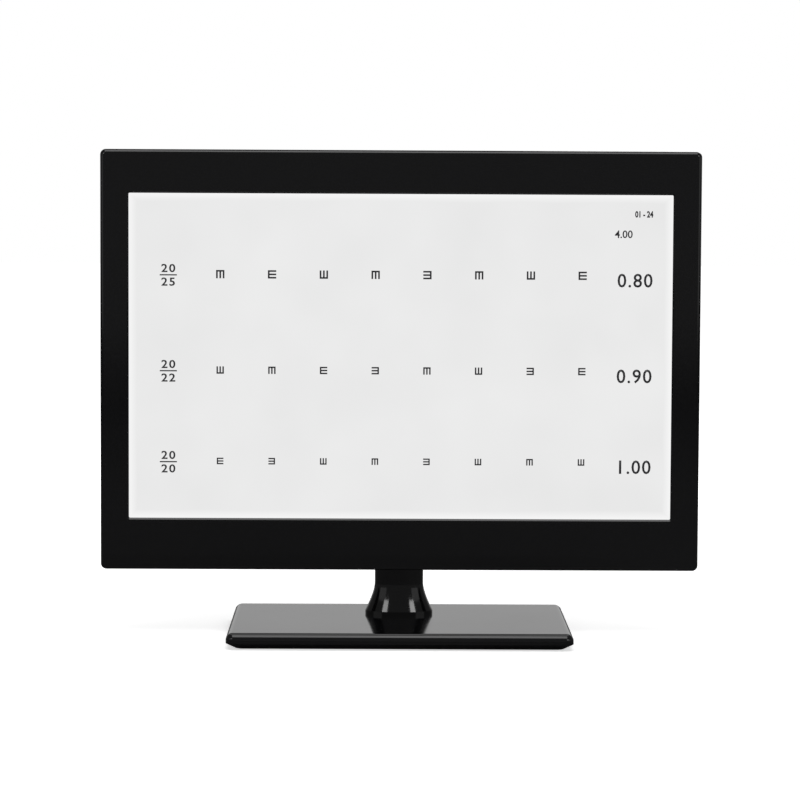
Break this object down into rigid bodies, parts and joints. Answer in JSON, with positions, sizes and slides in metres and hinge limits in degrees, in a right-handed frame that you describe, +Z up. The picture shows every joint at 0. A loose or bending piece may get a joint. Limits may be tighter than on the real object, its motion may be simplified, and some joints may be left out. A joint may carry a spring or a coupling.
{
  "type": "led eye chart display",
  "caption": "Flat screen in a gloss black frame on a tilting oval neck and a thin rectangular base, showing rows of small test marks for eye examinations.",
  "frame": {"origin": "on the table, in the middle of the base's footprint", "axes": "+X to the viewer's right, -Y out of the screen, +Z up"},
  "size_m": [0.524, 0.196, 0.4259],
  "materials": {
    "gloss_black": "piano-gloss moulded plastic",
    "satin_black": "fine-textured moulded plastic",
    "rubber": "moulded rubber",
    "foam": "closed-cell foam",
    "black_steel": "powder-coated sheet steel",
    "steel": "zinc-plated steel",
    "brass": "turned brass",
    "screen": "lit display glass with an anti-glare film",
    "white_sheet": "white diffusing film",
    "acrylic": "clear acrylic",
    "board_green": "solder-masked circuit board",
    "ribbon": "flat ribbon cable",
    "socket_metal": "nickel-plated sheet metal",
    "smoke_window": "dark infrared-passing plastic"
  },
  "bodies": {
    "stand": {"base_cover": "gloss_black", "base_ballast": "black_steel", "base_pads": "rubber", "base_screws": "steel", "neck_shell": "gloss_black", "neck_upright": "steel", "neck_screws": "steel", "hinge_yoke": "steel"},
    "display": {"hinge_bracket": "steel", "bracket_screws": "steel", "hinge_pin": "steel", "friction_washers": "steel", "disc_springs": "steel", "hinge_nut": "steel", "front_bezel": "gloss_black", "panel_gasket": "foam", "panel_front_frame": "steel", "lcd_cell": "screen", "diffuser_sheets": "white_sheet", "light_guide": "acrylic", "reflector_sheet": "white_sheet", "panel_mould_frame": "white_sheet", "panel_rear_tray": "steel", "led_bar": "white_sheet", "carrier_plate": "steel", "carrier_screws": "steel", "board_screws": "steel", "main_board": "board_green", "power_board": "board_green", "panel_driver_board": "board_green", "panel_ribbon": "ribbon", "rear_cover": "satin_black", "rear_cover_screws": "steel", "wall_inserts": "brass", "power_inlet": "satin_black", "inlet_pins": "socket_metal", "hdmi_socket": "socket_metal", "usb_socket": "socket_metal", "vga_socket": "socket_metal", "key_board": "board_green", "key_board_screws": "steel", "receiver_window": "smoke_window", "receiver_board": "board_green"},
    "power_key": {"power_key": "satin_black"},
    "menu_key": {"menu_key": "satin_black"},
    "source_key": {"source_key": "satin_black"},
    "down_key": {"down_key": "satin_black"},
    "up_key": {"up_key": "satin_black"}
  },
  "joints": [
    {"name": "tilt", "type": "hinge", "parent": "stand", "child": "display", "pos_m": [0, 0.034, 0.1295], "axis": [-1, 0, 0], "range_deg": [-5, 15]},
    {"name": "power_key_press", "type": "slide", "parent": "display", "child": "power_key", "axis": [0, -1, 0], "range_m": [0, 0.0004], "stiffness_N_per_m": 1500, "springref_m": -0.0006},
    {"name": "menu_key_press", "type": "slide", "parent": "display", "child": "menu_key", "axis": [0, -1, 0], "range_m": [0, 0.0004], "stiffness_N_per_m": 1500, "springref_m": -0.0006},
    {"name": "source_key_press", "type": "slide", "parent": "display", "child": "source_key", "axis": [0, -1, 0], "range_m": [0, 0.0004], "stiffness_N_per_m": 1500, "springref_m": -0.0006},
    {"name": "down_key_press", "type": "slide", "parent": "display", "child": "down_key", "axis": [0, -1, 0], "range_m": [0, 0.0004], "stiffness_N_per_m": 1500, "springref_m": -0.0006},
    {"name": "up_key_press", "type": "slide", "parent": "display", "child": "up_key", "axis": [0, -1, 0], "range_m": [0, 0.0004], "stiffness_N_per_m": 1500, "springref_m": -0.0006}
  ]
}
